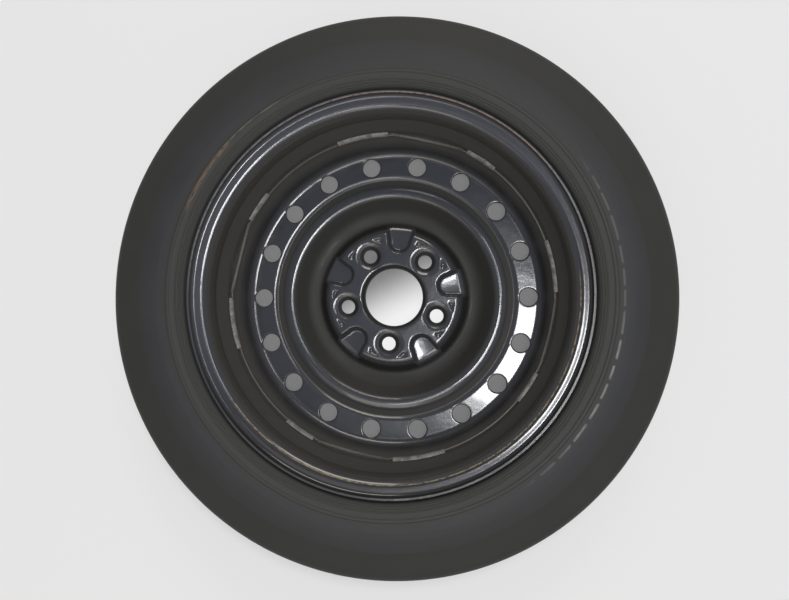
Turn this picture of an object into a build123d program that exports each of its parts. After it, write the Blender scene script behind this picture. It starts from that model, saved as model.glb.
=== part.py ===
from build123d import *

import math
import os

# Space saver spare wheel, lying on its outboard side: the wheel's axis is Z, the inboard side is up
# and the origin is the middle of the rim. Sections are drawn as (radius, height) in millimetres.

# Rim
rim_sheet = 2.2
bead_seat_r = 202.7
bead_seat_taper = 5.0
rim_width = 101.6
flange_height = 17.5
flange_lip = 10.4
flange_curl_r = 5.1
bead_heel_r = 6.5
seat_length = 18.0
well_drop = 14.2
well_inboard_z = 14.5
well_outboard_z = -14.8
slope_inboard_z = 27.0
slope_outboard_z = -18.5
well_bend_r = 4.0
well_r = bead_seat_r - well_drop

# Disc
disc_sheet = 2.8
skirt_edge_z = 8.7
skirt_bend_z = -6.0
skirt_bend_r = 20.0
scallop_start = 76.25
scallop_depth = 13.0
scallop_r = 70.0
vent_ring_z = -47.9
vent_ring_inner_bend_r = 8.0
vent_ring_outer_bend_r = 11.5
vent_hole_r = 11.05
vent_count = 18
groove_depth = 2.6
groove_bend_r = 2.6
ridge_height = 7.6
ridge_fall = 2.2
ridge_inner_bend_r = 10.0
ridge_outer_bend_r = 8.0
bowl_z = -56.0
bowl_inner_bend_r = 8.0
bowl_outer_bend_r = 27.0

# Widths from the edge of the hub pad out to the rim's well, which share the room there in proportion
hat_slope = 11.0
bowl_width = 14.5
bowl_slope = 22.0
ridge_width = 10.0
groove_fall = 9.3
groove_rise = 3.9
vent_land = 13.8
vent_margin = 19.7
skirt_slope = 4.8

# Hub pad
hub_face_z = -34.0
hub_bore_r = 35.3
hub_lip = 11.4
hub_lip_bend_r = 4.8
pad_r = 79.5
pad_bend_r = 4.0
lug_count = 5
lug_circle_r = 114.3 / 2
lug_start = 48.0
lug_hole_r = 8.3
lug_recess_r = 12.5
lug_recess_depth = 4.0
lug_land = 2.4
lug_seat_depth = 3.0
lug_seat_half_angle = 30.0
lug_boss_wall = 4.0
pocket_start = 84.0
pocket_inner_r = 56.0
pocket_reach = 7.5
pocket_outer_width = 34.0
pocket_inner_width = 25.0
pocket_end_length = 10.0
pocket_corner_r = 5.0
pocket_depth = 8.5
pocket_lip = 1.4
pocket_draft = 10.0
facet_inset = 6.3
facet_swing = 15.0
facet_offset = 3.4
facet_length = 10.0
facet_width = 6.0
facet_depth = 1.2
pocket_outer_r = pad_r + pocket_reach
facet_circle_r = pad_r - facet_inset

# Weld beads
weld_count = 4
weld_long_start = 10.0
weld_long_sweep = 18.5
weld_short_start = 56.0
weld_short_sweep = 11.5
weld_leg = 4.4
weld_crown = 0.8

# Tyre
tyre_r = 315.7
tyre_half_width = 64.0
tread_half_width = 46.0
shoulder_r = 13.0
buttress_half_width = 57.2
lower_wall_half_width = 62.4
rib_width = 2.6
rib_height = 0.8
cushion_gap = 1.6
cushion_foot = 0.3
bead_toe = 16.5
bead_fit = 0.1
sidewall_wall = 9.0
crown_wall = 12.0
tread_groove_places = (-33.0, -11.5, 11.5, 33.0)
tread_groove_width = 6.0
tread_groove_depth = 4.5

# Heights from the rim's flange out to the tread, which share the room there in proportion
cushion_rise = 8.8
rib_rise = 17.3
widest_rise = 7.7
buttress_rise = 26.0
shoulder_rise = 33.6
tread_crown = 2.1

# Valve
valve_angle = 156.0
valve_lean = 8.0
valve_seat_rise = 7.1
valve_seat_z = -17.2
valve_emboss_r = 7.4
valve_emboss_length = 13.0
valve_hole_r = 5.65
valve_collar_r = 7.3
valve_collar_height = 3.0
valve_body_root_r = 5.6
valve_body_tip_r = 4.4
valve_body_length = 20.0
valve_bulb_r = 6.8
valve_bulb_length = 7.0
stem_r = 3.85
stem_bore_r = 2.7
stem_length = 32.0
stem_inside = 5.5
stem_ledge = 4.5
stem_ledge_bore_r = 1.6
core_fit = 0.1
core_bore_r = 0.95
core_sunk = 1.5
core_thread_length = 5.5
core_neck_r = 1.6
core_neck_length = 6.0
core_seal_height = 2.2
pin_fit = 0.05
pin_proud = 1.0
pin_seal_r = 2.0
pin_seal_height = 1.6
pin_foot_r = 1.9
pin_foot_height = 0.8
pin_tail = 6.0
spring_wire_r = 0.2
spring_turns = 5
cap_wall = 0.9
cap_top = 2.0
cap_cover = 9.0
cap_chamfer = 0.8
cap_fit = 0.15
seat_gap = 0.02
valve_seat_r = well_r + valve_seat_rise


def shared(start, end, widths):
    # places between start and end that stand apart in proportion to the widths
    room = (end - start) / sum(widths)
    return [start + room * sum(widths[:i]) for i in range(1, len(widths))]


def offset_corners(points, distance):
    # corners of a parallel line, to the left of the way the points run
    moved = []
    for i, (x, y) in enumerate(points):
        before = points[max(i - 1, 0)]
        after = points[min(i + 1, len(points) - 1)]
        normals = []
        for a, b in ((before, (x, y)), ((x, y), after)):
            length = math.dist(a, b)
            if length > 0:
                normals.append(((a[1] - b[1]) / length, (b[0] - a[0]) / length))
        nx = sum(n[0] for n in normals)
        ny = sum(n[1] for n in normals)
        scale = distance * len(normals) / (nx * nx + ny * ny)
        moved.append((x + nx * scale, y + ny * scale))
    return moved


def turns_left(points, i):
    (ax, ay), (bx, by), (cx, cy) = points[i - 1], points[i], points[i + 1]
    return (bx - ax) * (cy - by) - (by - ay) * (cx - bx) > 0


def rounded_line(points, radii):
    return FilletPolyline(*[(r, 0, z) for r, z in points], radius=radii)


def sheet_ring(points, bends, sheet):
    # a pressed sheet turned about Z, from the corners of its middle line and the bend radius at each
    sides = []
    for side in (1, -1):
        corners = offset_corners(points, side * sheet / 2)
        radii = []
        for i, bend in enumerate(bends, start=1):
            inner = turns_left(points, i) == (side == 1)
            radii.append(bend - sheet / 2 if inner else bend + sheet / 2)
        sides.append(rounded_line(corners, radii))
    left, right = sides
    ends = [Line(left @ 0, right @ 0), Line(left @ 1, right @ 1)]
    section = make_face(left.edges() + right.edges() + ends)
    return revolve(section, axis=Axis.Z)


def ring(corners):
    # a solid turned about Z from the straight-sided outline of its section
    outline = Polyline(*[(r, 0, z) for r, z in corners], close=True)
    return revolve(make_face(outline.edges()), axis=Axis.Z)


def around(shape, count, start=0.0):
    return [Rot(0, 0, start + 360 * i / count) * shape for i in range(count)]


def upright(radius, bottom, top):
    # a round bar on the Z axis between two heights
    return Pos(0, 0, (bottom + top) / 2) * Cylinder(radius, top - bottom)


def tapered(bottom_r, top_r, bottom, top):
    return Pos(0, 0, (bottom + top) / 2) * Cone(bottom_r, top_r, top - bottom)


def valve_frame():
    # origin at the valve's seat on the rim, Z along the stem towards its cap
    lean = math.radians(valve_lean)
    spin = math.radians(valve_angle)
    way = (-math.sin(lean) * math.cos(spin), -math.sin(lean) * math.sin(spin), -math.cos(lean))
    seat = (valve_seat_r * math.cos(spin), valve_seat_r * math.sin(spin), valve_seat_z)
    across = (-math.sin(spin), math.cos(spin), 0)
    return Plane(origin=seat, x_dir=across, z_dir=way)


def rim_corners():
    half = rim_sheet / 2
    heel_z = rim_width / 2 + half
    lip_r = bead_seat_r + flange_height - half
    seat_r = bead_seat_r - half
    ledge_z = heel_z - seat_length
    ledge_r = seat_r - seat_length * math.tan(math.radians(bead_seat_taper))
    floor_r = well_r + half
    tip_z = rim_width / 2 + flange_lip
    return [
        (lip_r, -tip_z),
        (lip_r, -heel_z),
        (seat_r, -heel_z),
        (ledge_r, -ledge_z),
        (ledge_r, slope_outboard_z),
        (floor_r, well_outboard_z),
        (floor_r, well_inboard_z),
        (ledge_r, slope_inboard_z),
        (ledge_r, ledge_z),
        (seat_r, heel_z),
        (lip_r, heel_z),
        (lip_r, tip_z),
    ]


def make_rim(valve_place):
    half = rim_sheet / 2
    heel = bead_heel_r + half
    side = [flange_curl_r, heel, heel, well_bend_r, well_bend_r]
    rim = sheet_ring(rim_corners(), side + side[::-1], rim_sheet)
    # the sheet is pressed flat round the valve hole
    flange_r = bead_seat_r + flange_height
    ledge_r = rim_corners()[4][0] - half
    tyre_side = ring([
        (well_r, well_outboard_z),
        (flange_r, well_outboard_z),
        (flange_r, -rim_width / 2),
        (bead_seat_r - rim_sheet, -rim_width / 2),
        (ledge_r, slope_outboard_z),
    ])
    emboss = valve_place * upright(valve_emboss_r + rim_sheet, -rim_sheet, valve_emboss_length + rim_sheet)
    press = valve_place * upright(valve_emboss_r, 0, valve_emboss_length)
    hole = valve_place * upright(valve_hole_r, -valve_bulb_length, stem_length)
    return rim + (emboss & tyre_side) - press - hole


def make_pocket_outline(grow):
    # outline of a hub pocket, straight outside and round towards the bore, on the X axis
    half_out = pocket_outer_width / 2 + grow
    half_in = pocket_inner_width / 2 + grow
    outer_x = pocket_outer_r + grow
    round_x = pocket_inner_r + pocket_end_length
    side = Polyline((round_x, half_in), (outer_x, half_out), (outer_x, -half_out), (round_x, -half_in))
    end = ThreePointArc((round_x, -half_in), (pocket_inner_r - grow, 0), (round_x, half_in))
    outline = make_face(side.edges() + end.edges())
    corners = outline.vertices().sort_by(Axis.X)[-2:]
    return fillet(corners, pocket_corner_r + grow)


def make_disc():
    half = disc_sheet / 2
    pad_z = hub_face_z - half
    vent_z = vent_ring_z - half
    bowl_mid = bowl_z - half
    skirt_r = well_r - half
    widths = [hat_slope, bowl_width, bowl_slope, ridge_width, groove_fall, groove_rise, vent_land,
              vent_margin, skirt_slope]
    (bowl_inner_r, bowl_outer_r, ridge_inner_r, ridge_outer_r, groove_r, vent_ring_inner_r, vent_circle_r,
     vent_ring_outer_r) = shared(pad_r, well_r, widths)
    points = [
        (hub_bore_r + half, pad_z - hub_lip),
        (hub_bore_r + half, pad_z),
        (pad_r, pad_z),
        (bowl_inner_r, bowl_mid),
        (bowl_outer_r, bowl_mid),
        (ridge_inner_r, vent_z + ridge_height),
        (ridge_outer_r, vent_z + ridge_height - ridge_fall),
        (groove_r, vent_z - groove_depth),
        (vent_ring_inner_r, vent_z),
        (vent_ring_outer_r, vent_z),
        (skirt_r, skirt_bend_z),
        (skirt_r, skirt_edge_z),
    ]
    bends = [hub_lip_bend_r, pad_bend_r, bowl_inner_bend_r, bowl_outer_bend_r, ridge_inner_bend_r,
             ridge_outer_bend_r, groove_bend_r, vent_ring_inner_bend_r, vent_ring_outer_bend_r, skirt_bend_r]
    disc = sheet_ring(points, bends, disc_sheet)

    # pockets between the lugs, pressed away from the hub
    floor_z = hub_face_z - pocket_depth
    under_z = floor_z - disc_sheet
    wide = make_pocket_outline(disc_sheet)
    low_wall = Pos(0, 0, under_z) * extrude(wide, disc_sheet + pocket_lip)
    high_wall = Pos(0, 0, under_z) * extrude(wide, disc_sheet + pocket_depth - half)
    high_wall = high_wall & upright(pad_r, under_z, hub_face_z)
    hollow = Pos(0, 0, hub_face_z) * extrude(make_pocket_outline(0), -pocket_depth, taper=pocket_draft)
    for wall in around(low_wall + high_wall, lug_count, pocket_start):
        disc += wall
    for cut in around(hollow, lug_count, pocket_start):
        disc -= cut

    # lug seats: a cone on the hub side, a short plain hole, and the nut's cone on the outboard side
    land_top = hub_face_z - lug_recess_depth
    land_end = land_top - lug_land
    seat_end = land_end - lug_seat_depth
    seat_r = lug_hole_r + lug_seat_depth * math.tan(math.radians(lug_seat_half_angle))
    boss = tapered(seat_r + lug_boss_wall / 2, lug_recess_r + lug_boss_wall, seat_end, hub_face_z - half)
    recess = tapered(lug_hole_r, lug_recess_r, land_top, hub_face_z)
    hole = upright(lug_hole_r, seat_end, hub_face_z)
    nut_cone = tapered(seat_r, lug_hole_r, seat_end, land_end)
    bosses = around(Pos(lug_circle_r, 0, 0) * boss, lug_count, lug_start)
    holes = around(Pos(lug_circle_r, 0, 0) * (recess + hole + nut_cone), lug_count, lug_start)
    for one in bosses:
        disc += one - upright(hub_bore_r, seat_end, hub_face_z)
    for one in holes:
        disc -= one

    # small three-sided dimples at the outer corners of the pad
    for way in (-1, 1):
        corner = (facet_circle_r, way * facet_offset)
        along = (facet_circle_r, way * (facet_offset - facet_length))
        inward = (facet_circle_r - facet_width, way * facet_offset)
        outline = make_face(Polyline(corner, along, inward, close=True).edges())
        dimple = Pos(0, 0, hub_face_z) * extrude(outline, -facet_depth, dir=(0, 0, 1))
        for one in around(dimple, lug_count, lug_start + way * facet_swing):
            disc -= one

    # vent holes
    vent = Pos(vent_circle_r, 0, 0) * upright(vent_hole_r, vent_z - 3 * half, vent_z + 3 * half)
    for one in around(vent, vent_count):
        disc -= one

    # the skirt's edge dips between the welds
    dip_z = skirt_edge_z - scallop_depth + scallop_r
    scallop = Pos(skirt_r, 0, dip_z) * Rot(0, 90, 0) * Cylinder(scallop_r, scallop_depth)
    for one in around(scallop, weld_count, scallop_start):
        disc -= one
    return disc


def make_welds():
    corner = (well_r, 0, skirt_edge_z)
    up = (well_r, 0, skirt_edge_z + weld_leg)
    inward = (well_r - weld_leg, 0, skirt_edge_z)
    rise = weld_crown * weld_leg
    crown = (well_r - rise, 0, skirt_edge_z + rise)
    section = make_face([Line(inward, corner), Line(corner, up), ThreePointArc(up, crown, inward)])
    beads = []
    for start, sweep in ((weld_long_start, weld_long_sweep), (weld_short_start, weld_short_sweep)):
        bead = Rot(0, 0, -sweep / 2) * revolve(section, axis=Axis.Z, revolution_arc=sweep)
        beads += around(bead, weld_count, start)
    return Compound(children=beads)


def tyre_corners():
    # one half of the section, from the edge of the tread round the sidewall and bead and back inside
    heel_z = rim_width / 2 - bead_fit
    seat_r = bead_seat_r + bead_fit
    toe_r = seat_r - bead_toe * math.tan(math.radians(bead_seat_taper))
    flange_r = bead_seat_r + flange_height
    rises = [cushion_rise, rib_rise, widest_rise, buttress_rise, shoulder_rise, tread_crown]
    lower_wall_r, rib_r, widest_r, buttress_r, tread_edge_r = shared(flange_r, tyre_r, rises)
    curl_start = flange_r - flange_curl_r - rim_sheet / 2
    rib_low = rib_r - rib_width / 2
    rib_high = rib_r + rib_width / 2
    rib_z = tyre_half_width + rib_height
    inner_wall = tyre_half_width - sidewall_wall
    cavity_r = tyre_r - crown_wall
    outside = [
        (tread_edge_r, tread_half_width),
        (buttress_r, buttress_half_width),
        (widest_r, tyre_half_width),
        (rib_high + rib_height, tyre_half_width),
        (rib_high, rib_z),
        (rib_low, rib_z),
        (rib_low - rib_height, tyre_half_width),
        (lower_wall_r, lower_wall_half_width),
        (flange_r + 2 * cushion_gap, rim_width / 2 + flange_lip - cushion_gap),
        (flange_r + cushion_gap, rim_width / 2 + flange_curl_r - cushion_foot),
        (flange_r - cushion_gap, heel_z + cushion_foot),
        (curl_start - cushion_gap, heel_z),
        (seat_r, heel_z),
    ]
    inside = [
        (toe_r, heel_z - bead_toe),
        (toe_r + sidewall_wall, heel_z - bead_toe),
        (lower_wall_r, inner_wall - sidewall_wall / 2),
        (widest_r, inner_wall),
        (cavity_r - sidewall_wall, tread_half_width - sidewall_wall),
        (cavity_r - (tyre_r - tread_edge_r), tread_half_width - 2 * sidewall_wall),
    ]
    return outside, inside


def make_tyre():
    outside, inside = tyre_corners()
    tread_edge_r = outside[0][0]
    half = outside + inside
    upper = Polyline(*[(r, 0, z) for r, z in half])
    lower = Polyline(*[(r, 0, -z) for r, z in half])
    tread = ThreePointArc(lower @ 0, (tyre_r, 0, 0), upper @ 0)
    crown = ThreePointArc(lower @ 1, (tyre_r - crown_wall, 0, 0), upper @ 1)
    section = make_face(upper.edges() + lower.edges() + [tread, crown])
    shoulders = [v for v in section.vertices() if abs(v.X - tread_edge_r) < bead_fit]
    section = fillet(shoulders, shoulder_r)
    heels = [v for v in section.vertices() if abs(v.X - bead_seat_r) < 2 * bead_fit]
    section = fillet(heels, bead_heel_r)
    tyre = revolve(section, axis=Axis.Z)
    floor_r = tread_edge_r - tread_groove_depth
    open_r = tyre_r + tread_groove_depth
    for place in tread_groove_places:
        low = place - tread_groove_width / 2
        high = place + tread_groove_width / 2
        tyre -= ring([(floor_r, low), (open_r, low), (open_r, high), (floor_r, high)])
    return tyre


def stacked(levels):
    # a solid turned about Z from (radius, height) levels, closed on the axis
    bottom = levels[0][1]
    top = levels[-1][1]
    return ring([(0, bottom)] + levels + [(0, top)])


def make_valve_body(place, rim):
    # the rubber takes the shape of the rim that it is pulled into
    bulb_end = -rim_sheet - valve_bulb_length
    body = stacked([
        (stem_r + rim_sheet, bulb_end),
        (valve_bulb_r, bulb_end + rim_sheet),
        (valve_bulb_r, -rim_sheet),
        (valve_hole_r, -rim_sheet),
        (valve_hole_r, 0),
        (valve_collar_r, 0),
        (valve_collar_r, valve_collar_height),
        (valve_body_root_r, valve_collar_height + rim_sheet),
        (valve_body_tip_r, valve_body_length),
    ])
    body -= upright(stem_r, -stem_inside, stem_length)
    body -= upright(stem_ledge_bore_r, bulb_end, 0)
    return place * body - rim


def make_valve_stem():
    stem = upright(stem_r, -stem_inside, stem_length)
    stem -= upright(stem_bore_r, stem_ledge, stem_length)
    return stem - upright(stem_ledge_bore_r, -stem_inside, stem_ledge)


core_top = stem_length - core_sunk
neck_top = core_top - core_thread_length
neck_end = neck_top - core_neck_length
pin_r = core_bore_r - pin_fit
seal_top = neck_end - seat_gap
foot_top = seal_top - pin_seal_height
foot_end = foot_top - pin_foot_height


def make_valve_core():
    core = upright(stem_bore_r - core_fit, neck_top, core_top)
    core += upright(core_neck_r, neck_end, neck_top)
    return core - upright(core_bore_r, neck_end, core_top)


def make_core_seal():
    middle = (neck_top + neck_end) / 2
    low = middle - core_seal_height / 2
    high = middle + core_seal_height / 2
    return upright(stem_bore_r - core_fit, low, high) - upright(core_neck_r + seat_gap, low, high)


def make_valve_pin():
    pin = upright(pin_r, foot_end - pin_tail, core_top + pin_proud)
    return pin + upright(pin_foot_r, foot_end, foot_top)


def make_pin_seal():
    low = foot_top + seat_gap
    return upright(pin_seal_r, low, seal_top) - upright(pin_r + seat_gap, low, seal_top)


def make_pin_spring():
    # stands on the stem's inner ledge and presses the pin's foot outwards
    coil_r = (stem_bore_r + pin_r) / 2
    low = stem_ledge + spring_wire_r + seat_gap
    height = foot_end - spring_wire_r - seat_gap - low
    path = Helix(pitch=height / spring_turns, height=height, radius=coil_r)
    wire = Plane(origin=path @ 0, z_dir=path % 0) * Circle(spring_wire_r)
    return Pos(0, 0, low) * sweep(wire, path=path)


def make_valve_cap():
    inner_r = stem_r + cap_fit
    outer_r = inner_r + cap_wall
    inside_top = stem_length + cap_fit
    low = inside_top - cap_cover
    high = inside_top + cap_top
    shell = stacked([(outer_r, low), (outer_r, high - cap_chamfer), (outer_r - cap_chamfer, high)])
    return shell - upright(inner_r, low, inside_top)


valve_place = valve_frame()
rim = make_rim(valve_place)
pieces = {
    "tyre": make_tyre(),
    "rim": rim,
    "wheel_disc": make_disc(),
    "weld_beads": make_welds(),
    "valve_body": make_valve_body(valve_place, rim),
    "valve_stem": valve_place * make_valve_stem(),
    "valve_core": valve_place * make_valve_core(),
    "core_seal": valve_place * make_core_seal(),
    "valve_pin": valve_place * make_valve_pin(),
    "pin_seal": valve_place * make_pin_seal(),
    "pin_spring": valve_place * make_pin_spring(),
    "valve_cap": valve_place * make_valve_cap(),
}

os.makedirs("parts", exist_ok=True)
for name, shape in pieces.items():
    export_step(shape, f"parts/{name}.step")
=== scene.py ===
import math

import bmesh
import bpy
import numpy as np
from mathutils import Matrix, Vector


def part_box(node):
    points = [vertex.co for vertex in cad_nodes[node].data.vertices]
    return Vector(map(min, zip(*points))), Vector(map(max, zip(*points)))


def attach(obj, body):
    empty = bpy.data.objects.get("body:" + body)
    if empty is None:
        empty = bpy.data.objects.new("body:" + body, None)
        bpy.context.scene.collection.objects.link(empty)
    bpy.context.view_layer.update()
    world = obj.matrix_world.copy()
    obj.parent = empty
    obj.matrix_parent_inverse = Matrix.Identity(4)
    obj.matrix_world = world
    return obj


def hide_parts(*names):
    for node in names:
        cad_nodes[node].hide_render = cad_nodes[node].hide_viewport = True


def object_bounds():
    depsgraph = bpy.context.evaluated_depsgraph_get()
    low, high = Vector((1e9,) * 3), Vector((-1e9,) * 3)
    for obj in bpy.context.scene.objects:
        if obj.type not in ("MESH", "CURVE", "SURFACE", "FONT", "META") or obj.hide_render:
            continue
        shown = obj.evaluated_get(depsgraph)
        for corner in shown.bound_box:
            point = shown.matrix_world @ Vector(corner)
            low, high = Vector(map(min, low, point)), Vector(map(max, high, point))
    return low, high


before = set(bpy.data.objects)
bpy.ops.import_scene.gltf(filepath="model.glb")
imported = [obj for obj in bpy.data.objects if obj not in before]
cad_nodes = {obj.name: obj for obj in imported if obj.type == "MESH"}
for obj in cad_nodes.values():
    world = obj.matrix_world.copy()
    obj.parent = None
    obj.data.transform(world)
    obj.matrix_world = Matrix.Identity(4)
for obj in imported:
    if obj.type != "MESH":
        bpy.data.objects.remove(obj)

cad_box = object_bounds()
scene = bpy.context.scene
MM = 0.001

# Sizes in millimetres: the part's own, apart from a few softer bends and finer trims
rim_sheet = 2.2
bead_seat_r = 202.7
bead_seat_taper = 5.0
rim_width = 101.6
flange_height = 17.5
flange_lip = 10.4
flange_curl_r = 5.1
bead_heel_r = 8.5
seat_length = 18.0
well_r = 188.5
well_inboard_z = 14.5
well_outboard_z = -14.8
slope_inboard_z = 27.0
slope_outboard_z = -18.5
well_bend_r = 4.0

disc_sheet = 2.8
skirt_edge_z = 8.7
skirt_bend_z = -6.0
skirt_bend_r = 20.0
scallop_start = 76.25
scallop_depth = 13.0
scallop_r = 70.0
vent_ring_z = -47.9
vent_ring_inner_r = 150.2
vent_ring_outer_r = 183.7
vent_ring_inner_bend_r = 8.0
vent_ring_outer_bend_r = 11.5
vent_circle_r = 164.0
vent_hole_r = 11.05
vent_count = 18
vent_roll = 0.5
vent_roll_out = 0.9
vent_roll_in = 0.4
groove_r = 146.3
groove_depth = 2.6
groove_bend_r = 2.6
ridge_inner_r = 127.0
ridge_outer_r = 137.0
ridge_height = 7.6
ridge_fall = 2.2
ridge_inner_bend_r = 10.0
ridge_outer_bend_r = 8.0
bowl_z = -56.0
bowl_inner_r = 90.5
bowl_outer_r = 105.0
bowl_inner_bend_r = 8.0
bowl_outer_bend_r = 27.0
grid_seam_r = 97.5

hub_face_z = -34.0
hub_bore_r = 35.3
hub_lip = 11.4
hub_lip_bend_r = 4.8
pad_r = 79.5
pad_bend_r = 7.5
lug_count = 5
lug_circle_r = 57.15
lug_start = 48.0
lug_hole_r = 8.3
lug_recess_r = 12.8
lug_recess_floor_r = lug_hole_r - 0.5
lug_recess_depth = 2.2
lug_dish_r = 18.5
lug_dish_floor_r = lug_recess_r - 1.8
lug_dish_depth = 1.8
lug_boss_r = 15.5
lug_boss_depth = 6.6
nut_seat_r = 10.0
nut_seat_depth = 3.0
pocket_outer_r = 87.0
pocket_outer_half = 17.0
pocket_inner_half = 12.5
pocket_round_r = 68.5
pocket_corner_r = 5.0
pocket_floor_z = -42.5
pocket_roll_r = 79.0
pocket_roll = 44.0
pocket_wall_out = 2.6
pocket_wall_in = 2.4
pocket_tilt = 0.06
pocket_tilt_r = 64.0
pocket_dish = 0.003
dimple_circle_r = 71.0
dimple_swing = 15.0
dimple_corners = ((2.7, 3.9), (2.7, -7.4), (-4.2, 3.9))
dimple_depth = 1.9
dimple_wall_out = 0.5
dimple_wall_in = 1.3

weld_count = 4
weld_runs = ((10.0, 18.5), (56.0, 11.5))
weld_leg = 4.4
weld_ripple = 1.6

tyre_r = 315.7
tyre_half_width = 64.0
tread_edge_r = 310.6
tread_half_width = 46.0
tread_grooves = (11.5, 33.0)
tread_groove_depth = 4.5
tread_groove_half = 2.6
tread_groove_slope = 0.4
tread_inner_r = 303.7
shoulder_r = 15.0
rib_r = 241.0
rib_half = 1.3
rib_foot = 1.1
fine_ribs = ((232.2, 63.0), (229.5, 62.6), (227.0, 62.1))
fine_rib_height = 0.5
fine_rib_half = 0.4
fine_rib_foot = 0.5
bead_clearance = 0.1

# The photograph's camera: place in metres, turn and lean in degrees
photo_width = 789
focal_pixels = 651.2
camera_place = (0.06097, -0.03626, 0.75461)
camera_turn = -4.33
camera_lean = 2.35


# Shader sums

class Flow:
    """A shader value whose sums are written as Python; each sum adds its node."""

    def __init__(self, finish, socket):
        self.finish = finish
        self.socket = socket

    def sum(self, operation, *values, clamp=False):
        settings = {"operation": operation, "use_clamp": clamp}
        return self.finish.node("ShaderNodeMath", settings, dict(enumerate(values)))

    def __add__(self, other):
        return self.sum("ADD", self, other)

    def __radd__(self, other):
        return self.sum("ADD", other, self)

    def __sub__(self, other):
        return self.sum("SUBTRACT", self, other)

    def __rsub__(self, other):
        return self.sum("SUBTRACT", other, self)

    def __mul__(self, other):
        return self.sum("MULTIPLY", self, other)

    def __rmul__(self, other):
        return self.sum("MULTIPLY", other, self)

    def __pow__(self, other):
        return self.sum("POWER", self, other)

    def __abs__(self):
        return self.sum("ABSOLUTE", self)

    def cos(self):
        return self.sum("COSINE", self)

    def wrapped(self, low, high):
        return self.sum("WRAP", self, high, low)

    def clamp(self):
        return self.sum("ADD", self, 0.0, clamp=True)

    def rise(self, low, high):
        """0 below low, 1 above high, smooth between."""
        settings = {"interpolation_type": "SMOOTHSTEP"}
        sockets = {"Value": self, "From Min": low, "From Max": high}
        return self.finish.node("ShaderNodeMapRange", settings, sockets)

    def band(self, middle, half, soft):
        """1 within half of middle, 0 further than half + soft."""
        return 1 - abs(self - middle).rise(half, half + soft)


class Finish:
    """A material in the making."""

    def __init__(self, name):
        self.material = bpy.data.materials.new(name)
        self.material.use_nodes = True
        self.tree = self.material.node_tree
        self.tree.nodes.clear()

    def node(self, kind, settings=None, sockets=None, output=0):
        made = self.tree.nodes.new(kind)
        for name, value in (settings or {}).items():
            setattr(made, name, value)
        for name, value in (sockets or {}).items():
            if isinstance(value, Flow):
                self.tree.links.new(value.socket, made.inputs[name])
            else:
                made.inputs[name].default_value = value
        return Flow(self, made.outputs[output])

    def place(self):
        """Object coordinates in millimetres, radius from the axle and angle round it in degrees."""
        spot = self.node("ShaderNodeTexCoord", output="Object")
        scaled = self.node("ShaderNodeVectorMath", {"operation": "SCALE"}, {0: spot, "Scale": 1 / MM})
        x, y, z = (self.node("ShaderNodeSeparateXYZ", None, {0: scaled}, axis) for axis in range(3))
        radius = (x * x + y * y) ** 0.5
        angle = x.sum("ARCTAN2", y, x) * (180 / math.pi)
        return scaled, x, y, z, radius, angle

    def noise(self, spot, scale, detail=3.0, roughness=0.55):
        sockets = {"Vector": spot, "Scale": scale, "Detail": detail, "Roughness": roughness}
        return self.node("ShaderNodeTexNoise", None, sockets)

    def vector(self, x, y, z):
        return self.node("ShaderNodeCombineXYZ", None, {0: x, 1: y, 2: z})

    def mix(self, factor, first, second):
        return self.node("ShaderNodeMix", {"data_type": "RGBA"}, {0: factor, 6: first, 7: second}, output=2)

    def bump(self, height, strength, distance):
        sockets = {"Strength": strength, "Distance": distance, "Height": height}
        return self.node("ShaderNodeBump", None, sockets)

    def skin(self, **sockets):
        """The Principled surface, with sockets named in plain words."""
        named = {name.replace("_", " "): value for name, value in sockets.items()}
        surface = self.node("ShaderNodeBsdfPrincipled", None, named)
        self.output(surface)
        return self.material

    def output(self, surface):
        end = self.tree.nodes.new("ShaderNodeOutputMaterial")
        self.tree.links.new(surface.socket, end.inputs["Surface"])


def grey(value):
    return (value, value, value, 1.0)


# Finishes

def gap_to_holes(radius, around, circle_r):
    """Distance from the nearest of a ring of holes; around is the angle from that hole's centre line."""
    turn = (around * (math.pi / 180)).cos()
    return (radius * radius + circle_r ** 2 - radius * turn * (2 * circle_r)) ** 0.5


def disc_edges(made, colour, dull, z, radius, angle, around):
    """Adds painted shade round the disc's vent holes, on its hub bore and in its lug seats, and the pale line
    along its skirt's edge.
    """
    vent_gap = gap_to_holes(radius, angle.wrapped(-180 / vent_count, 180 / vent_count), vent_circle_r)
    # painted shade: near-black, dull colour round each vent hole, on the bore's roundover and in the lug
    # seats
    vent_and_bore_shade = 1 - vent_gap.rise(vent_hole_r + 0.7, vent_hole_r + 1.4) + (1 - radius.rise(39.0, 40.4))
    lug_gap = gap_to_holes(radius, around, lug_circle_r)
    seat_shade = 1 - lug_gap.rise(lug_recess_r - 0.6, lug_recess_r + 1.9)
    brink = z.rise(skirt_edge_z - 0.5, skirt_edge_z - 0.1)
    edge = made.mix(radius.rise(186.2, 186.5), (0.17, 0.167, 0.155, 1), (0.022, 0.022, 0.020, 1))
    colour = made.mix(brink, colour, edge)
    colour = made.mix((vent_and_bore_shade + seat_shade).clamp(), colour, (0.008, 0.008, 0.0075, 1))
    return colour, (dull + vent_and_bore_shade + seat_shade).clamp()


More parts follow.
